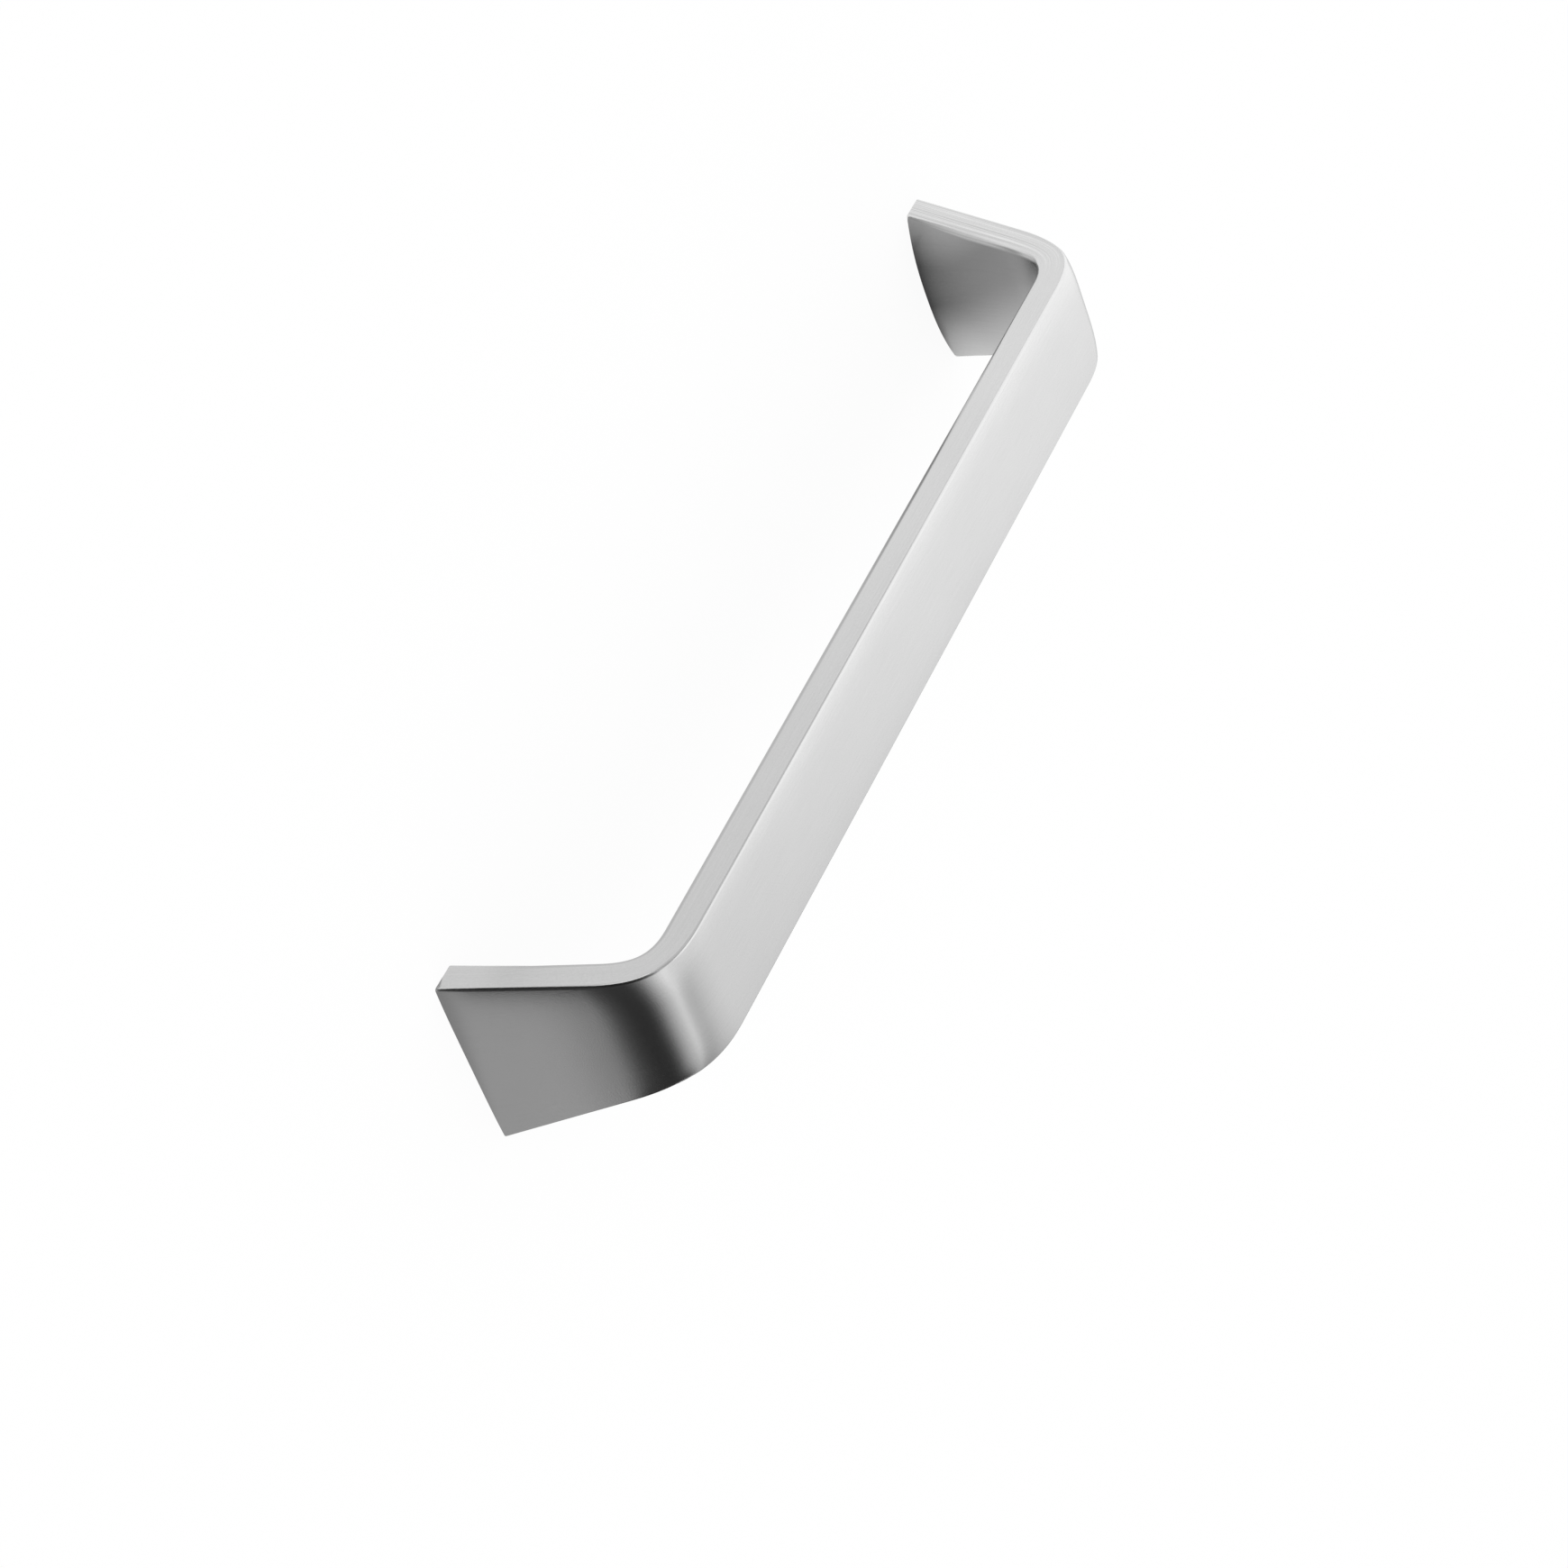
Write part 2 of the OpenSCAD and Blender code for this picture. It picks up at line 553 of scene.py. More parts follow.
    def half_section(self, station: Station) -> list[SectionPoint]:
        """Half of the section at a station, from the middle of its front to its rear.

        Args:
            station: The place along the strap.

        Returns:
            The points of the section.
        """
        t = math.dist(station.front, station.rear)
        z = station.rear[1]
        growth = clamped(z / self.full_edge_h)
        r = self.foot_edge_r + (self.finger_edge_r - self.foot_edge_r) * growth
        front_flat = 1 - self.front_edge_r / self.half_width(station.front[1])
        rear_flat = 1 - r / self.half_width(z)
        section = []
        for i in range(self.steps.front):
            share = front_flat * sin_deg(90 * i / self.steps.front)
            section.append(SectionPoint(self.fall(share, station.dome), share))
        for i in range(self.steps.edge + 1):
            a = 90 * i / self.steps.edge
            share = front_flat + (1 - front_flat) * sin_deg(a)
            depth = self.fall(share, station.dome) + self.front_edge_r * (1 - cos_deg(a))
            section.append(SectionPoint(depth, share, 0.0, sin_deg(2 * a), sin_deg(a)))
        side_top = section[-1].depth
        for i in range(1, self.steps.side):
            part = (1 - cos_deg(180 * i / self.steps.side)) / 2
            section.append(SectionPoint(side_top + (t - r - side_top) * part, 1.0, flank=1.0))
        for i in range(self.steps.edge + 1):
            a = 90 * i / self.steps.edge
            share = rear_flat + (1 - rear_flat) * cos_deg(a)
            extra = self.rise(share, z)
            depth = t - r * (1 - sin_deg(a)) + extra
            flank = clamped(self.flank_gain * cos_deg(a))
            section.append(SectionPoint(depth, share, extra, sin_deg(2 * a), flank))
        for i in range(1, self.steps.rear + 1):
            share = rear_flat * cos_deg(90 * i / self.steps.rear)
            extra = self.rise(share, z)
            section.append(SectionPoint(t + extra, share, extra))
        return section

    def ring(self, draft: MeshDraft, station: Station, along: float) -> list[int]:
        """Adds the closed ring of points round the strap at a station.

        Args:
            draft: The draft that takes it.
            station: The place along the strap.
            along: The distance of that place along the strap.

        Returns:
            The numbers of its points.
        """
        section = self.half_section(station)
        front = np.array(station.front)
        reach = np.array(station.rear) - front
        reach /= np.linalg.norm(reach)
        mirrored = [(p, -1) for p in reversed(section[1:-1])]
        places, strap, polish, flank = [], [], [], []
        for point, side in [(p, 1) for p in section] + mirrored:
            x, z = front + reach * point.depth
            y = side * self.half_width(z) * point.share
            places.append((x, y, z))
            strap.append((along, y, point.depth - point.extra))
            polish.append(point.polish)
            flank.append(point.flank)
        if station.inset:
            places = self.inset_ring(np.array(places), station.inset)
            polish = [max(p, self.rim_polish) for p in polish]
        return [draft.point(*values) for values in zip(places, strap, polish, flank)]

    @staticmethod
    def inset_ring(places: np.ndarray, inset: float) -> np.ndarray:
        """Moves each point of a level ring inwards, square to the ring.

        Args:
            places: The points of the ring.
            inset: How far they move.

        Returns:
            The moved points.
        """
        run = np.roll(places, -1, axis=0) - np.roll(places, 1, axis=0)
        inward = np.column_stack([-run[:, 1], run[:, 0], np.zeros(len(run))])
        inward /= np.linalg.norm(inward, axis=1, keepdims=True)
        middle = places.mean(axis=0)
        if ((middle - places) * inward).sum() < 0:
            inward = -inward
        return places + inward * inset

    def skin(self, draft: MeshDraft) -> None:
        """Adds the skin of the strap, which is still open at the two feet.

        Args:
            draft: The draft that takes it.
        """
        along, last, ring = 0.0, None, None
        for station in self.stations():
            if last is not None:
                fronts = math.dist(last.front, station.front)
                along += (fronts + math.dist(last.rear, station.rear)) / 2
            new_ring = self.ring(draft, station, along)
            if ring is not None:
                draft.bridge(ring, new_ring, Surface.PLATED)
            last, ring = station, new_ring

    def close_feet(self, mesh: bpy.types.Mesh) -> None:
        """Fills the flat faces of the feet round their holes and marks the sharp edges.

        Args:
            mesh: The mesh of the skin and the holes.

        Raises:
            ValueError: If the mesh isn't closed afterwards.
        """
        bm = bmesh.new()
        bm.from_mesh(mesh)
        for foot in Foot:
            rim = [e for e in bm.edges if e.is_boundary and e.verts[0].co.x * foot.value > 0]
            made = bmesh.ops.triangle_fill(bm, use_beauty=True, edges=rim)
            for face in made["geom"]:
                if isinstance(face, bmesh.types.BMFace):
                    face.material_index = Surface.PLATED.value
        bmesh.ops.recalc_face_normals(bm, faces=bm.faces)
        open_edges = sum(not e.is_manifold for e in bm.edges)
        if open_edges:
            raise ValueError(f"the casting has {open_edges} edges without two faces")
        for edge in bm.edges:
            edge.smooth = edge.calc_face_angle() < math.radians(self.crease_deg)
        for face in bm.faces:
            face.smooth = True
        bm.to_mesh(mesh)
        bm.free()

    def build(self) -> bpy.types.Object:
        """Models the casting.

        Returns:
            The piece, still without its finishes.
        """
        draft = MeshDraft()
        self.skin(draft)
        for hole in self.holes:
            hole.cut(draft)
        mesh = draft.mesh("pull_handle")
        self.close_feet(mesh)
        return add_object("pull_handle", mesh)

    def dress(self, piece: bpy.types.Object, finishes: Sequence["Finish"]) -> None:
        """Gives the piece its finishes and ties it to the CAD frame.

        Args:
            piece: The casting.
            finishes: One finish for each kind of surface, in order.
        """
        for finish in finishes:
            piece.data.materials.append(finish.material())
        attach(piece, "root")
        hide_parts(NODE)


class NodeTree:
    """Short calls that place and link the nodes of one tree."""

    def __init__(self, tree: bpy.types.NodeTree) -> None:
        """Takes the tree and empties it."""
        self.tree = tree
        tree.nodes.clear()

    def add(self, kind: str, settings: dict | None = None, **inputs: object) -> bpy.types.Node:
        """Adds a node.

        Args:
            kind: Its type, without a leading ShaderNode.
            settings: Its own properties, by name.
            inputs: Its inputs, by name with _ for a space: each a value or an output.

        Returns:
            The node.
        """
        name = kind if kind.startswith("NodeGroup") else f"ShaderNode{kind}"
        node = self.tree.nodes.new(name)
        for key, value in (settings or {}).items():
            setattr(node, key, value)
        for key, value in inputs.items():
            self.feed(node, key.replace("_", " "), value)
        return node

    def feed(self, node: bpy.types.Node, socket: str | int, value: object) -> None:
        """Sets one input of a node.

        Args:
            node: The node.
            socket: The name or the number of its input.
            value: A value, or the output of another node.
        """
        target = node.inputs[socket]
        if isinstance(value, bpy.types.NodeSocket):
            self.tree.links.new(value, target)
        else:
            target.default_value = value

    def math(self, operation: str, first: object, second: object = 0.0) -> bpy.types.NodeSocket:
        """Adds a Math node.

        Args:
            operation: The name of its operation.
            first: Its first input, a value or an output.
            second: Its second input.

        Returns:
            Its output.
        """
        node = self.add("Math", {"operation": operation})
        self.feed(node, 0, first)
        self.feed(node, 1, second)
        return node.outputs[0]

    def scaled(self, vector: object, x: object, y: object, z: object) -> bpy.types.NodeSocket:
        """Scales a vector by its own factor along each axis.

        Args:
            vector: The output that gives the vector.
            x: The factor along x, a value or an output.
            y: The factor along y.
            z: The factor along z.

        Returns:
            The output that gives the result.
        """
        factors = self.add("CombineXYZ", X=x, Y=y, Z=z)
        product = self.add("VectorMath", {"operation": "MULTIPLY"})
        self.feed(product, 0, vector)
        self.feed(product, 1, factors.outputs[0])
        return product.outputs[0]

    def spread(self, value: object, low: float, high: float) -> bpy.types.NodeSocket:
        """Maps a value of 0 to 1 onto another range.

        Args:
            value: The output that gives the value.
            low: The result at 0.
            high: The result at 1.

        Returns:
            The output that gives the result.
        """
        node = self.add("MapRange", {"clamp": False}, Value=value, To_Min=low, To_Max=high)
        return node.outputs["Result"]


def new_material(name: str) -> tuple[bpy.types.Material, NodeTree]:
    """Makes a material.

    Args:
        name: Its name.

    Returns:
        The material, and its emptied node tree.
    """
    material = bpy.data.materials.new(name)
    material.use_nodes = True
    return material, NodeTree(material.node_tree)


class EffectGroup:
    """A shader node group that several materials share, built once."""

    def __init__(self, name: str) -> None:
        """Makes the empty group with its input and output nodes.

        Args:
            name: The name of the group.
        """
        self.tree = bpy.data.node_groups.new(name, "ShaderNodeTree")
        self.nodes = NodeTree(self.tree)
        self.entry = self.nodes.add("NodeGroupInput")
        self.exit = self.nodes.add("NodeGroupOutput")

    def takes(
        self, name: str, default: float = 0.0, kind: str = "NodeSocketFloat"
    ) -> bpy.types.NodeSocket:
        """Adds a named input to the group.

        Args:
            name: The name of the input.
            default: Its default value, where it is a number.
            kind: The type of its socket.

        Returns:
            The output of the group's input node that carries it.
        """
        socket = self.tree.interface.new_socket(name, in_out="INPUT", socket_type=kind)
        if kind == "NodeSocketFloat":
            socket.default_value = default
        return self.entry.outputs[name]

    def gives(self, name: str, value: bpy.types.NodeSocket) -> None:
        """Adds a named output to the group and feeds it."""
        self.tree.interface.new_socket(name, in_out="OUTPUT", socket_type="NodeSocketFloat")
        self.nodes.feed(self.exit, name, value)


def satin_grain() -> bpy.types.NodeTree:
    """Builds the group for the fine matt grain, with faint strokes that run along the part.

    Returns:
        The group. Its input Place is in millimetres: along the part, across it and below
        its front face. Its outputs Grain, Strokes and Clouds are each about 0 to 1, and its
        output Marks, long streaks that fade beyond the reach, is centred on 0.
    """
    group = EffectGroup("satin_grain")
    place = group.takes("Place", kind="NodeSocketVector")
    grain_scale = group.takes("Grain Scale", 4.5)
    stroke_length = group.takes("Stroke Length", 9.0)
    stroke_scale = group.takes("Stroke Scale", 9.0)
    mark_scale = group.takes("Mark Scale", 5.0)
    mark_reach = group.takes("Mark Reach", 20.0)
    mark_fade = group.takes("Mark Fade", 16.0)
    mark_rest = group.takes("Mark Rest", 0.08)
    cloud_scale = group.takes("Cloud Scale", 0.05)
    mark_along, mark_across = 0.02, 0.04
    noise_middle = 0.5
    nodes = group.nodes
    grain = nodes.add("TexNoise", Vector=place, Scale=grain_scale, Detail=2.0)
    stroke_along = nodes.math("DIVIDE", 1.0, stroke_length)
    stretched = nodes.scaled(place, stroke_along, stroke_scale, stroke_scale)
    strokes = nodes.add("TexNoise", Vector=stretched, Scale=1.0, Detail=3.0)
    streaked = nodes.scaled(place, mark_along, mark_across, mark_scale)
    marks = nodes.add("TexNoise", Vector=streaked, Scale=1.0, Detail=3.0)
    along = nodes.add("SeparateXYZ", Vector=place).outputs["X"]
    fade_end = nodes.math("ADD", mark_reach, mark_fade)
    ends = {"From_Min": mark_reach, "From_Max": fade_end, "To_Min": 1.0, "To_Max": mark_rest}
    fade = nodes.add("MapRange", Value=along, **ends)
    swing = nodes.math("SUBTRACT", marks.outputs["Fac"], noise_middle)
    swing = nodes.math("MULTIPLY", swing, fade.outputs["Result"])
    clouds = nodes.add("TexNoise", Vector=place, Scale=cloud_scale, Detail=3.0)
    group.gives("Grain", grain.outputs["Fac"])
    group.gives("Strokes", strokes.outputs["Fac"])
    group.gives("Marks", swing)
    group.gives("Clouds", clouds.outputs["Fac"])
    return group.tree


@dataclass(frozen=True)
class Finish:
    """A metal finish: its colour, its gloss and its relief, with depths in millimetres."""

    name: str
    grain: bpy.types.NodeTree
    color: tuple[float, float, float]
    tone_spread: float
    speckle: float
    mark_tone: float
    roughness: float
    roughness_spread: float
    edge_roughness: float
    grain_depth: float
    stroke_depth: float
    stroke_length: float
    mark_depth: float

    def material(self) -> bpy.types.Material:
        """Makes the material.

        Returns:
            A metal whose tone, gloss and relief vary over the surface.
        """
        material, nodes = new_material(self.name)
        strap = nodes.add("Attribute", {"attribute_name": "strap"})
        polish = nodes.add("Attribute", {"attribute_name": "polish"})
        flank = nodes.add("Attribute", {"attribute_name": "flank"})
        grain = nodes.add("Group", {"node_tree": self.grain})
        nodes.feed(grain, "Place", strap.outputs["Vector"])
        nodes.feed(grain, "Stroke Length", self.stroke_length)
        tone = nodes.spread(grain.outputs["Clouds"], 1 - self.tone_spread, 1 + self.tone_spread)
        fine = nodes.math("ADD", grain.outputs["Grain"], grain.outputs["Strokes"])
        speckle = nodes.spread(fine, 1 - self.speckle, 1.0)
        marks = nodes.math("MULTIPLY", grain.outputs["Marks"], flank.outputs["Fac"])
        streaks = nodes.spread(marks, 1.0, 1 + self.mark_tone)
        tone = nodes.math("MULTIPLY", nodes.math("MULTIPLY", tone, speckle), streaks)
        color = nodes.add("VectorMath", {"operation": "SCALE"})
        nodes.feed(color, 0, self.color)
        nodes.feed(color, "Scale", tone)
        low, high = self.roughness - self.roughness_spread, self.roughness + self.roughness_spread
        matt = nodes.spread(grain.outputs["Strokes"], low, high)
        worn = nodes.math("MULTIPLY", polish.outputs["Fac"], self.edge_roughness - self.roughness)
        roughness = nodes.math("ADD", matt, worn)
        strokes = nodes.math("MULTIPLY", grain.outputs["Strokes"], self.stroke_depth)
        pits = nodes.math("MULTIPLY", grain.outputs["Grain"], self.grain_depth)
        scores = nodes.math("MULTIPLY", marks, self.mark_depth)
        height = nodes.math("ADD", nodes.math("ADD", strokes, pits), scores)
        bump = nodes.add("Bump", Height=height, Strength=1.0, Distance=MM)
        shader = nodes.add("BsdfPrincipled", Metallic=1.0, Normal=bump.outputs["Normal"])
        nodes.feed(shader, "Base Color", color.outputs[0])
        nodes.feed(shader, "Roughness", roughness)
        nodes.add("OutputMaterial", Surface=shader.outputs[0])
        return material


@dataclass(frozen=True)
class Stop:
    """A line across a card: its place, its brightness and how much of it covers.

    The columns that cross it are moved along it by its shift.
    """

    place: float
    shade: float
    cover: float = 1.0
    shift: float = 0.0


@dataclass(frozen=True)
class Column:
    """A line along a card: its place, how much of it covers, and what its shades are times.

    On a card that curves, its shades are also moved round the axis by its turn.
    """

    place: float
    cover: float = 1.0
    gain: float = 1.0
    turn: float = 0.0


@dataclass(frozen=True)
class CardSpot:
    """One spot of a card: its place, its brightness and how much of it covers."""

    place: tuple[float, float, float]
    shade: float
    cover: float


@dataclass(frozen=True)
class ReflectionCard:
    """A studio card that only the metal reflects: a sheet of spots where lines cross."""

    name: str
    stops: tuple[Stop, ...]
    columns: tuple[Column, ...]

    def rows(self) -> list[list[CardSpot]]:
        """The spots of the card, stop by stop."""
        raise NotImplementedError

    def material(self) -> bpy.types.Material:
        """Makes the card's material.

        Returns:
            A material that glows with the card's shade and is clear at its soft edges.
        """
        material, nodes = new_material(self.name)
        shade = nodes.add("Attribute", {"attribute_name": "shade"})
        cover = nodes.add("Attribute", {"attribute_name": "cover"})
        glow = nodes.add("Emission", Color=(1.0, 1.0, 1.0, 1.0))
        nodes.feed(glow, "Strength", shade.outputs["Fac"])
        clear = nodes.add("BsdfTransparent")
        mixed = nodes.add("MixShader", Fac=cover.outputs["Fac"])
        nodes.feed(mixed, 1, clear.outputs[0])
        nodes.feed(mixed, 2, glow.outputs[0])
        nodes.add("OutputMaterial", Surface=mixed.outputs[0])
        material.cycles.emission_sampling = "NONE"
        return material

    def build(self) -> bpy.types.Object:
        """Makes the card.

        Returns:
            The card, hidden from everything but the reflections in the metal.
        """
        rows = self.rows()
        spots = [spot for row in rows for spot in row]
        wide = len(self.columns)
        faces = []
        for i in range(1, len(rows)):
            for j in range(1, wide):
                k = i * wide + j
                faces.append((k - wide - 1, k - wide, k, k - 1))
        mesh = bpy.data.meshes.new(self.name)
        mesh.from_pydata([spot.place for spot in spots], [], faces)
        set_values(mesh, "shade", [spot.shade for spot in spots])
        set_values(mesh, "cover", [spot.cover for spot in spots])
        mesh.materials.append(self.material())
        card = add_object(self.name, mesh)
        for rays in ("camera", "diffuse", "transmission", "volume_scatter", "shadow"):
            setattr(card, f"visible_{rays}", False)
        return card


@dataclass(frozen=True)
class TableCard(ReflectionCard):
    """A card that lies on the floor: stops along its heading, columns to the left of it.

    Cards lie in thin layers, and the one in the highest layer covers the others.
    """

    origin: Point = (0.0, 0.0)
    heading: float = 0.0
    layer: int = 1
    layer_h: float = 0.00003

    def rows(self) -> list[list[CardSpot]]:
        """Places the spots of the card.

        Returns:
            The spots, stop by stop.
        """
        c, s = cos_deg(self.heading), sin_deg(self.heading)
        rows = []
        for stop in self.stops:
            row = []
            for column in self.columns:
                left = column.place + stop.shift
                x = self.origin[0] + c * stop.place - s * left
                y = self.origin[1] + s * stop.place + c * left
                cover = stop.cover * column.cover
                place = (x, y, self.layer * self.layer_h)
                row.append(CardSpot(place, stop.shade * column.gain, cover))
            rows.append(row)
        return rows


@dataclass(frozen=True)
class SweepCard(ReflectionCard):
    """A card that curves over the handle, round an axis along y.

    The axis runs through its centre, in the near bend. Its stops are angles from +x, falling,
    and its columns are places along y.
    """

    centre: Point = (-0.0875, 0.0230)
    radius: float = 0.4
    arc_step: float = 3.0

    def rows(self) -> list[list[CardSpot]]:
        """Places the spots of the card.

        Returns:
            The spots from the first stop to the last, in even steps that make the card round.
        """
        rising = [(s.place, s.shade, s.cover, s.shift) for s in reversed(self.stops)]
        angles, shades, covers, shifts = zip(*rising)
        count = round((angles[-1] - angles[0]) / self.arc_step) + 1
        rows = []
        for angle in np.linspace(angles[-1], angles[0], count):
            x = self.centre[0] + self.radius * cos_deg(angle)
            z = self.centre[1] + self.radius * sin_deg(angle)
            cover = float(np.interp(angle, angles, covers))
            shift = float(np.interp(angle, angles, shifts))
            row = []
            for column in self.columns:
                shade = float(np.interp(angle + column.turn, angles, shades)) * column.gain
                y = column.place + shift
                row.append(CardSpot((x, y, z), shade, cover * column.cover))
            rows.append(row)
        return rows


@dataclass(frozen=True)
class Studio:
    """The pale floor, the white surroundings, the soft lamp and the cards that metal reflects."""

    floor_r: float = 3.0
    floor_facets: int = 96
    floor_color: tuple[float, float, float, float] = (0.95, 0.95, 0.95, 1.0)
    floor_glow: float = 0.92
    world_strength: float = 1.0
    lamp_place: tuple[float, float, float] = (0.25, 0.15, 0.9)
    lamp_size: tuple[float, float] = (0.7, 0.5)
    lamp_power: float = 0.45

    def world(self) -> None:
        """Makes white surroundings, at a strength that shows a colour as it is written."""
        world = bpy.data.worlds.new("studio")
        bpy.context.scene.world = world
        world.use_nodes = True
        nodes = NodeTree(world.node_tree)
        white = nodes.add("Background", Color=(1.0, 1.0, 1.0, 1.0), Strength=self.world_strength)
        nodes.add("OutputWorld", Surface=white.outputs[0])
        world.cycles.sampling_method = "NONE"

    def floor(self) -> bpy.types.Object:
        """Makes the floor, which is white where no shadow falls and clear from below.

        Returns:
            The floor.
        """
        material, nodes = new_material("floor")
        path = nodes.add("LightPath")
        seen = nodes.math("MAXIMUM", path.outputs["Is Camera Ray"], path.outputs["Is Glossy Ray"])
        seen = nodes.math("MAXIMUM", seen, path.outputs["Is Transmission Ray"])
        lit = nodes.add("BsdfDiffuse", Color=self.floor_color)
        glow = nodes.add("Emission", Color=(1.0, 1.0, 1.0, 1.0), Strength=1.0)
        share = nodes.math("MULTIPLY", seen, self.floor_glow)
        mixed = nodes.add("MixShader", Fac=share)
        nodes.feed(mixed, 1, lit.outputs[0])
        nodes.feed(mixed, 2, glow.outputs[0])
        clear = nodes.add("BsdfTransparent")
        geometry = nodes.add("NewGeometry")
        faced = nodes.add("MixShader", Fac=geometry.outputs["Backfacing"])
        nodes.feed(faced, 1, mixed.outputs[0])
        nodes.feed(faced, 2, clear.outputs[0])
        nodes.add("OutputMaterial", Surface=faced.outputs[0])
        bm = bmesh.new()
        bmesh.ops.create_circle(bm, cap_ends=True, segments=self.floor_facets, radius=self.floor_r)
        mesh = bpy.data.meshes.new("floor")
        bm.to_mesh(mesh)
        bm.free()
        mesh.materials.append(material)
        return add_object("floor", mesh)

    def lamp(self) -> None:
        """Hangs the soft lamp over the handle."""
        light = bpy.data.lights.new("softbox", "AREA")
        light.shape = "RECTANGLE"
        light.size, light.size_y = self.lamp_size
        light.energy = self.lamp_power
        lamp = add_object("softbox", light)
        lamp.location = self.lamp_place
        lamp.rotation_mode = "QUATERNION"
        lamp.rotation_quaternion = (-Vector(self.lamp_place)).to_track_quat("-Z", "Y")

    def cards(self) -> tuple[ReflectionCard, ...]:
        """The cards that give the metal its dark and grey reflections."""
        return *self.floor_cards(), *self.sky_cards()

    @staticmethod
    def floor_cards() -> tuple[ReflectionCard, ...]:
        """Makes up the cards on the floor.

        Returns:
            Three cards before the near leg: one for its front and two dark ones for its
            edges. Then one beside the handle, a painted shade under it that stands in for its
            shadow on the floor, a dark one that draws its far outline, a painted shadow at the
            far foot, and a painted shade on the floor under the grip's far edge.
        """
        near_foot = (-0.1016, 0.0)
        front = TableCard(
            name="front_card",
            origin=near_foot,
            heading=218.0,
            stops=(
                Stop(-0.012, 0.22), Stop(0.001, 0.27), Stop(0.010, 0.355), Stop(0.050, 0.37),
                Stop(0.070, 0.39), Stop(0.095, 0.455), Stop(0.108, 0.435), Stop(0.121, 0.34),
                Stop(0.134, 0.22), Stop(0.150, 0.16), Stop(0.180, 0.10), Stop(0.500, 0.06),
                Stop(2.000, 0.05),
            ),
            columns=(
                Column(-0.040), Column(0.045), Column(0.075, gain=0.15), Column(2.0, gain=0.15),
            ),
        )
        edge = TableCard(
            name="edge_card",
            origin=near_foot,
            heading=214.0,
            layer=2,
            stops=(Stop(0.010, 0.02, 0.0), Stop(0.020, 0.02), Stop(2.0, 0.02)),
            columns=(Column(-2.0), Column(-0.0135), Column(-0.0103, 0.0)),
        )
        ridge = TableCard(
            name="ridge_card",
            origin=near_foot,
            heading=180.0,
            layer=4,
            stops=(Stop(0.004, 0.02, 0.0), Stop(0.009, 0.02), Stop(2.0, 0.02)),
            columns=(Column(-2.0), Column(-0.022), Column(-0.016, 0.0)),
        )
        side = TableCard(
            name="side_card",
            stops=(
                Stop(-0.108, 0.69, 0.0), Stop(-0.101, 0.69), Stop(-0.020, 0.715),
                Stop(0.020, 0.735), Stop(0.060, 0.81), Stop(0.110, 0.83), Stop(0.600, 0.83),
            ),
            columns=(
                Column(0.0150, 0.0), Column(0.0155), Column(0.130), Column(0.180, gain=0.70),
                Column(2.0, gain=0.65),
            ),
        )
        # Painted shade: a dark sheet on the floor under the handle, darkest by the far foot, that
        # stands in for the handle's shadow there in the metal's reflections.
        under_shade = TableCard(
            name="under_shade_card",
            layer=2,
            stops=(
                Stop(0.0955, 0.065, shift=0.004), Stop(0.092, 0.08, shift=0.003),
                Stop(0.089, 0.145, shift=0.001), Stop(0.085, 0.215, shift=-0.002),
                Stop(0.079, 0.31, shift=-0.003), Stop(0.060, 0.42), Stop(0.030, 0.50),
                Stop(-0.070, 0.50), Stop(-0.085, 0.50, 0.0),
            ),
            columns=(
                Column(-0.040, 0.0), Column(-0.030, 0.15), Column(-0.020, 0.45),
                Column(-0.015, 0.63), Column(-0.010, 0.86), Column(-0.006), Column(0.003),
                Column(0.008, 0.84), Column(0.012, 0.68), Column(0.017, 0.50), Column(0.030, 0.30),
                Column(0.050, 0.0),
            ),
        )
        outline = TableCard(
            name="outline_card",
            stops=(
                Stop(-0.080, 0.04, 0.0), Stop(-0.068, 0.04), Stop(-0.048, 0.04),
                Stop(-0.030, 0.10), Stop(0.085, 0.10), Stop(0.110, 0.60), Stop(0.600, 0.80),
            ),
            columns=(Column(-1.5), Column(-0.035), Column(-0.022, 0.0)),
        )
        # Painted shadow: a dark sheet round the far foot that stands in for its contact shadow in
        # the metal's reflections.
        foot_shadow = TableCard(
            name="foot_shadow_card",
            layer=3,
            stops=(Stop(0.0975, 0.03), Stop(0.0945, 0.03, 0.8), Stop(0.0915, 0.03, 0.0)),
            columns=(
                Column(-0.014, 0.0), Column(-0.009, 0.8), Column(0.008, 0.8), Column(0.012, 0.0),
            ),
        )
        # Painted shade: a dim sheet on the floor under the grip that stands in for its shade
        # there, so that the grip's finger edge mirrors a darker floor.
        rim = TableCard(
            name="grip_shade_card",
            layer=3,
            stops=(
                Stop(0.075, 0.22, 0.0), Stop(0.068, 0.22), Stop(0.050, 0.32), Stop(0.030, 0.50),
                Stop(0.010, 0.56), Stop(-0.070, 0.57), Stop(-0.085, 0.57, 0.0),
            ),
            columns=(Column(-0.045, 0.0), Column(-0.035), Column(0.032), Column(0.043, 0.0)),
        )
        return front, edge, ridge, side, under_shade, outline, foot_shadow, rim

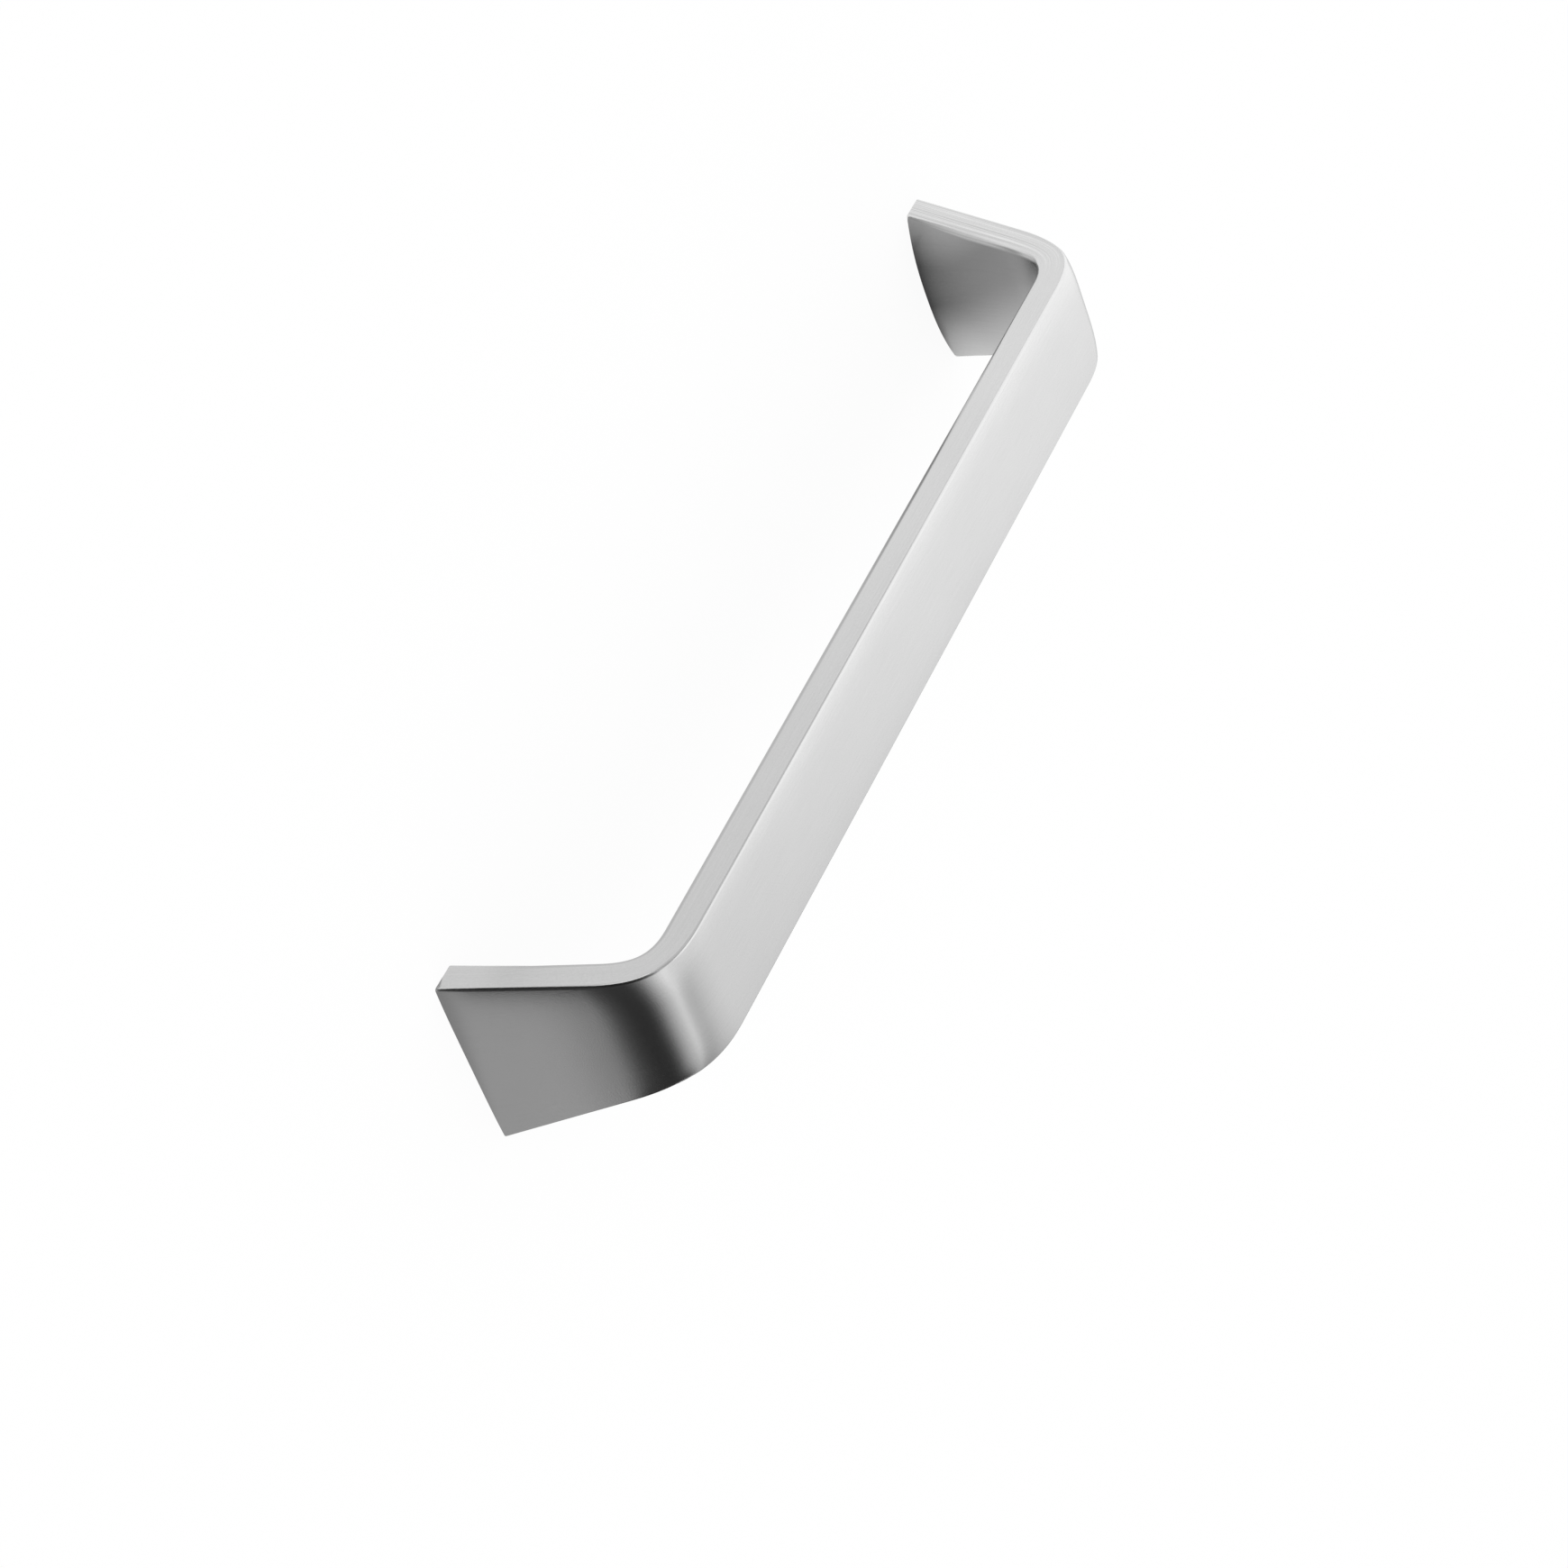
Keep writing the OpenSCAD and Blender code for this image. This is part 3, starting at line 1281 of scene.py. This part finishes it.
    @staticmethod
    def sky_cards() -> tuple[ReflectionCard, ...]:
        """Makes up the cards that curve over the handle.

        Returns:
            A dark one before the near leg, a light one above the handle, and one that gives
            its front a glint.
        """
        dark = SweepCard(
            name="dark_card",
            stops=(
                Stop(184.0, 0.048), Stop(170.0, 0.024), Stop(150.0, 0.022), Stop(140.0, 0.075),
                Stop(125.0, 0.335), Stop(111.0, 0.545),
            ),
            columns=(
                Column(-3.0, gain=0.80, turn=20.0), Column(-0.80, gain=0.85, turn=16.0),
                Column(-0.65, gain=0.85, turn=9.0), Column(-0.49, gain=0.97),
                Column(-0.37, gain=1.05), Column(-0.29), Column(-0.17, gain=1.26, turn=-4.0),
                Column(-0.09, gain=1.48, turn=-4.0), Column(0.00, gain=1.48, turn=-4.0),
                Column(0.10, gain=0.90, turn=4.0), Column(0.30, gain=0.50, turn=12.0),
                Column(1.50, gain=0.50, turn=12.0),
            ),
        )
        light = SweepCard(
            name="light_card",
            stops=(
                Stop(111.0, 0.53), Stop(98.0, 0.81), Stop(88.0, 0.52), Stop(74.0, 0.455),
                Stop(55.0, 0.63), Stop(36.0, 0.76), Stop(20.0, 0.75), Stop(0.0, 0.70),
            ),
            columns=(
                Column(-3.0, gain=0.50), Column(-0.65, gain=0.66), Column(-0.49, gain=0.81),
                Column(-0.37, gain=0.94), Column(-0.29), Column(-0.25, 0.80), Column(-0.22, 0.65),
                Column(-0.16, 0.50, turn=-8.0), Column(-0.02, 0.45, turn=-8.0),
                Column(0.10, 0.45, turn=-8.0), Column(0.18, 0.55, gain=0.75, turn=-8.0),
                Column(0.26, 0.90, gain=0.40, turn=-8.0), Column(0.36, 0.85, gain=0.70, turn=-8.0),
                Column(1.50, 0.85, gain=0.70, turn=-8.0),
            ),
        )
        glint = SweepCard(
            name="glint_card",
            radius=0.39,
            stops=(
                Stop(54.0, 1.06, 0.0, shift=-0.07), Stop(40.0, 1.06, shift=-0.06),
                Stop(30.0, 1.06, shift=-0.02), Stop(22.0, 1.06, shift=0.02),
                Stop(0.0, 1.06, shift=0.04),
            ),
            columns=(
                Column(-0.165, 0.0), Column(-0.135, 0.9), Column(0.20, 0.9), Column(0.30, 0.0),
            ),
        )
        return dark, light, glint

    def build(self) -> None:
        """Sets up the whole studio."""
        self.world()
        self.lamp()
        self.floor()
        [card.build() for card in self.cards()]


@dataclass(frozen=True)
class StudioCamera:
    """A long lens that looks down on the handle, turned so that up lies to the right."""

    azimuth: float = 228.22
    elevation: float = 28.56
    roll: float = 91.16
    distance: float = 0.7272
    aim: tuple[float, float, float] = (-0.02689, -0.00902, 0.01884)
    lens: float = 105.19
    sensor_w: float = 36.0

    def build(self) -> None:
        """Makes the camera and gives it to the scene."""
        data = bpy.data.cameras.new("camera")
        data.lens = self.lens
        data.sensor_width = self.sensor_w
        camera = add_object("camera", data)
        bpy.context.scene.camera = camera
        level = cos_deg(self.elevation)
        across, away = sin_deg(self.azimuth) * level, -cos_deg(self.azimuth) * level
        back = Vector((across, away, sin_deg(self.elevation)))
        right = Vector((0.0, 0.0, 1.0)).cross(back).normalized()
        up = back.cross(right)
        turned = right * cos_deg(self.roll) + up * sin_deg(self.roll)
        axes = Matrix((turned, back.cross(turned), back)).transposed()
        place = Vector(self.aim) + back * self.distance
        camera.matrix_world = Matrix.Translation(place) @ axes.to_4x4()


def main() -> None:
    """Builds the camera, the casting with its finishes, and the studio round it."""
    logging.basicConfig(level=logging.INFO, format="%(name)s: %(message)s")
    bpy.context.scene.view_settings.view_transform = "Standard"
    StudioCamera().build()
    grain = satin_grain()
    plating = Finish(
        name="satin_plating",
        grain=grain,
        color=(0.82, 0.82, 0.82),
        tone_spread=0.03,
        speckle=0.12,
        mark_tone=1.1,
        roughness=0.22,
        roughness_spread=0.03,
        edge_roughness=0.20,
        grain_depth=0.0060,
        stroke_depth=0.0030,
        stroke_length=9.0,
        mark_depth=0.02,
    )
    machined = Finish(
        name="machined_bore",
        grain=grain,
        color=(0.58, 0.58, 0.57),
        tone_spread=0.06,
        speckle=0.06,
        mark_tone=0.0,
        roughness=0.38,
        roughness_spread=0.06,
        edge_roughness=0.38,
        grain_depth=0.0012,
        stroke_depth=0.0028,
        stroke_length=1.5,
        mark_depth=0.0,
    )
    casting = BowCasting.from_frame()
    piece = casting.build()
    casting.dress(piece, (plating, machined))
    LOG.info("%s: %d faces", piece.name, len(piece.data.polygons))
    Studio().build()


if __name__ == "__main__":
    main()
